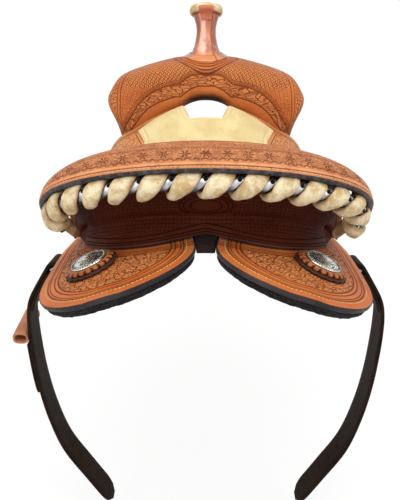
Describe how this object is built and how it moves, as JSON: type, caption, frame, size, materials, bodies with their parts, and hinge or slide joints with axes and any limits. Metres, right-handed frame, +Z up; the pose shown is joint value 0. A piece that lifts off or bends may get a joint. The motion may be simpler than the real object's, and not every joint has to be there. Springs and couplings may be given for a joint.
{
  "type": "barrel racing saddle",
  "caption": "Western barrel racing saddle with tooled leather, laced rawhide cantle binding, padded suede seat, round skirts, rigging plates and hanging flank billets.",
  "frame": {"origin": "on the middle plane, level with the skirts' lower edges at mid length, where the horse's back or a rack carries the saddle", "axes": "+X to the off (right) side, +Y towards the horse's head, +Z up"},
  "size_m": [0.5205, 0.6061, 0.7587],
  "materials": {
    "wood": "varnished rawhide-covered wood",
    "rawhide": "dried rawhide",
    "tooled": "oiled and tooled skirting leather",
    "dark": "dark brown latigo leather",
    "back": "dark tooled leather",
    "suede": "pale suede over foam",
    "fleece": "black wool felt",
    "steel": "brushed",
    "silver": "engraved antique silver",
    "ground": "plain ground seat leather"
  },
  "bodies": {
    "saddle": {"binding_core": "dark", "cantle_back": "back", "cantle_roll": "tooled", "concho_left": "silver", "concho_right": "silver", "fleece_left": "fleece", "fleece_right": "fleece", "front_jockey_left": "tooled", "front_jockey_right": "tooled", "ground_seat": "ground", "gullet_lining": "dark", "horn_cap": "tooled", "horn_cap_base": "wood", "horn_cap_rim": "rawhide", "horn_post": "steel", "horn_wrap": "tooled", "rawhide_lace": "rawhide", "rigging_plate_front_left": "steel", "rigging_plate_front_right": "steel", "rigging_plate_rear_left": "steel", "rigging_plate_rear_right": "steel", "rivet_front_left_0": "steel", "rivet_front_left_1": "steel", "rivet_front_right_0": "steel", "rivet_front_right_1": "steel", "rivet_rear_left_0": "steel", "rivet_rear_left_1": "steel", "rivet_rear_right_0": "steel", "rivet_rear_right_1": "steel", "rosette_left": "tooled", "rosette_right": "tooled", "seat_inlay": "suede", "seat_leather": "tooled", "silver_lace": "silver", "skirt_connector": "dark", "skirt_left": "tooled", "skirt_right": "tooled", "swell_cover": "tooled", "tree_bar_left": "wood", "tree_bar_right": "wood", "tree_cantle": "wood", "tree_fork": "wood"},
    "near_billet": {"billet_left": "dark", "billet_safe": "dark", "keeper_loop": "tooled"},
    "off_billet": {"billet_right": "dark"}
  },
  "joints": [
    {"name": "off_billet_swing", "type": "hinge", "parent": "saddle", "child": "off_billet", "pos_m": [0.20228, -0.06975, 0.00265], "axis": [0, 0.9823, -0.1874], "range_deg": [-60, 10]},
    {"name": "near_billet_swing", "type": "hinge", "parent": "saddle", "child": "near_billet", "pos_m": [-0.20228, -0.06975, 0.00265], "axis": [0, 0.9823, -0.1874], "range_deg": [-10, 60]}
  ]
}
